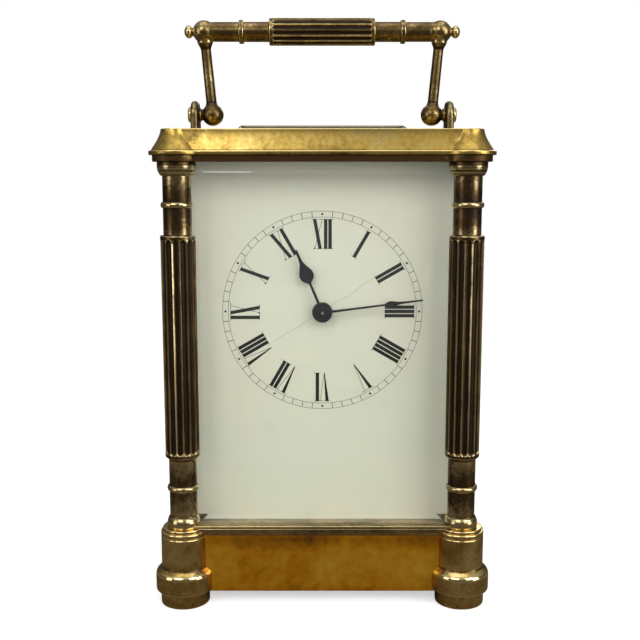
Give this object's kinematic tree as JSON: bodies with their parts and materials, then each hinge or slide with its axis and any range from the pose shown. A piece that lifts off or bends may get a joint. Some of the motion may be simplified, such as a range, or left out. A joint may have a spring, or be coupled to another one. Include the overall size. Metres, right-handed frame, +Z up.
{
  "type": "carriage clock",
  "caption": "Brass carriage clock with fluted corner columns, bevelled glass panels, white enamel dial, folding top handle and hinged rear door.",
  "frame": {"origin": "middle of the footprint, on the plane that the four feet stand on", "axes": "+Z up, the dial faces -Y, +X to the right of someone facing the dial"},
  "size_m": [0.1016, 0.0896, 0.1787],
  "materials": {
    "column_brass": "aged brass with dark brown patina in the flutes",
    "pedestal_brass": "satin brass with bright worn rims",
    "base_brass": "polished amber brass with dark mottled edges",
    "cornice_brass": "polished yellow brass with mottled wear",
    "handle_brass": "aged brown brass, bright on the ridges",
    "clear_glass": "clear bevelled glass",
    "enamel": "white vitreous enamel, with a hairline crack",
    "blued_steel": "blued steel",
    "polished_steel": "polished steel",
    "plate_brass": "lacquered brass with a fine grain",
    "gilt_brass": "gilt brass",
    "wheel_brass": "polished brass",
    "spring_steel": "tempered spring steel",
    "plain_steel": "plain steel"
  },
  "bodies": {
    "case": {"base_plinth": "base_brass", "pedestal_front_left": "pedestal_brass", "pedestal_front_right": "pedestal_brass", "pedestal_rear_left": "pedestal_brass", "pedestal_rear_right": "pedestal_brass", "column_front_left": "column_brass", "column_front_right": "column_brass", "column_rear_left": "column_brass", "column_rear_right": "column_brass", "column_screws": "plain_steel", "cornice_frame": "cornice_brass", "top_glass": "clear_glass", "front_glass": "clear_glass", "left_glass": "clear_glass", "right_glass": "clear_glass", "handle_lug_left": "cornice_brass", "handle_lug_right": "cornice_brass", "handle_pivot_screws": "handle_brass", "dial": "enamel", "minute_stud": "polished_steel", "front_plate": "plate_brass", "back_plate": "plate_brass", "plate_pillars": "plate_brass", "pillar_screws": "blued_steel", "movement_screws": "plain_steel", "click_spring": "blued_steel", "platform_plate": "gilt_brass", "platform_screws": "blued_steel", "lever_cock": "gilt_brass", "hairspring": "blued_steel", "balance_cock": "gilt_brass"},
    "handle": {"handle_bar": "handle_brass", "handle_arm_left": "handle_brass", "handle_arm_right": "handle_brass", "handle_finials": "handle_brass"},
    "rear_door": {"door_frame": "cornice_brass", "door_glass": "clear_glass", "door_knob": "cornice_brass", "door_pins": "cornice_brass"},
    "minute_work": {"centre_arbor": "polished_steel", "cannon_pinion": "polished_steel", "minute_hand": "blued_steel", "hand_collet": "polished_steel"},
    "minute_wheel_body": {"minute_wheel": "wheel_brass"},
    "hour_work": {"hour_wheel": "wheel_brass", "hour_hand": "blued_steel"},
    "contrate_body": {"contrate_wheel": "wheel_brass"},
    "third_body": {"third_wheel": "wheel_brass"},
    "centre_body": {"centre_wheel": "wheel_brass"},
    "intermediate_body": {"intermediate_wheel": "wheel_brass"},
    "barrel_body": {"barrel": "plate_brass", "barrel_cover": "plate_brass", "mainspring": "spring_steel"},
    "escape_body": {"escape_wheel": "wheel_brass"},
    "winding_body": {"winding_arbor": "polished_steel", "ratchet_wheel": "polished_steel"},
    "click_body": {"click": "polished_steel"},
    "lever_body": {"pallet_lever": "polished_steel"},
    "balance_body": {"balance_wheel": "gilt_brass"},
    "index_body": {"regulator_index": "polished_steel"}
  },
  "joints": [
    {"name": "handle_fold", "type": "hinge", "parent": "case", "child": "handle", "pos_m": [0, 0, 0.1486], "axis": [1, 0, 0], "range_deg": [-90, 90]},
    {"name": "rear_door_swing", "type": "hinge", "parent": "case", "child": "rear_door", "pos_m": [-0.034, 0.036, 0.08], "axis": [0, 0, 1], "range_deg": [0, 110]},
    {"name": "set_hands", "type": "hinge", "parent": "case", "child": "minute_work", "pos_m": [0, 0, 0.0886], "axis": [0, 1, 0], "continuous": true},
    {"name": "hour_wheel_turn", "type": "hinge", "parent": "case", "child": "hour_work", "pos_m": [0, 0, 0.0886], "axis": [0, 1, 0], "continuous": true},
    {"name": "minute_wheel_turn", "type": "hinge", "parent": "case", "child": "minute_wheel_body", "pos_m": [0.00679, 0, 0.09539], "axis": [0, 1, 0], "continuous": true},
    {"name": "contrate_wheel_turn", "type": "hinge", "parent": "case", "child": "contrate_body", "pos_m": [0, 0, 0.10916], "axis": [0, 1, 0], "continuous": true},
    {"name": "third_wheel_turn", "type": "hinge", "parent": "case", "child": "third_body", "pos_m": [-0.00976, 0, 0.10096], "axis": [0, 1, 0], "continuous": true},
    {"name": "centre_wheel_turn", "type": "hinge", "parent": "case", "child": "centre_body", "pos_m": [0, 0, 0.0886], "axis": [0, 1, 0], "continuous": true},
    {"name": "intermediate_wheel_turn", "type": "hinge", "parent": "case", "child": "intermediate_body", "pos_m": [0.0095, 0, 0.07474], "axis": [0, 1, 0], "continuous": true},
    {"name": "barrel_turn", "type": "hinge", "parent": "case", "child": "barrel_body", "pos_m": [-0.004, 0, 0.05674], "axis": [0, 1, 0], "continuous": true},
    {"name": "escape_wheel_turn", "type": "hinge", "parent": "case", "child": "escape_body", "pos_m": [0, 0.00381, 0.1238], "axis": [0, 0, 1], "continuous": true},
    {"name": "winding_turn", "type": "hinge", "parent": "case", "child": "winding_body", "pos_m": [-0.004, 0, 0.05674], "axis": [0, 1, 0], "continuous": true},
    {"name": "click_lift", "type": "hinge", "parent": "case", "child": "click_body", "pos_m": [0.0085, 0.02, 0.064], "axis": [0, 1, 0], "range_deg": [0, 8], "stiffness_Nm_per_rad": 0.002, "springref_deg": -11.46},
    {"name": "lever_rock", "type": "hinge", "parent": "case", "child": "lever_body", "pos_m": [0, -0.0024, 0.124], "axis": [0, 0, 1], "range_deg": [-5, 5]},
    {"name": "balance_swing", "type": "hinge", "parent": "case", "child": "balance_body", "pos_m": [0, -0.0095, 0.1278], "axis": [0, 0, 1], "range_deg": [-135, 135], "stiffness_Nm_per_rad": 0.0000005},
    {"name": "regulator_turn", "type": "hinge", "parent": "case", "child": "index_body", "pos_m": [0, -0.0095, 0.132], "axis": [0, 0, 1], "range_deg": [-20, 20]}
  ],
  "couplings": [
    {"joint": "hour_wheel_turn", "follows": "set_hands", "ratio": 0.083333},
    {"joint": "minute_wheel_turn", "follows": "set_hands", "ratio": -0.33333},
    {"joint": "third_wheel_turn", "follows": "contrate_wheel_turn", "ratio": -0.13333},
    {"joint": "centre_wheel_turn", "follows": "contrate_wheel_turn", "ratio": 0.016667},
    {"joint": "intermediate_wheel_turn", "follows": "contrate_wheel_turn", "ratio": -0.0027778},
    {"joint": "barrel_turn", "follows": "contrate_wheel_turn", "ratio": 0.00034722},
    {"joint": "escape_wheel_turn", "follows": "contrate_wheel_turn", "ratio": 8}
  ]
}
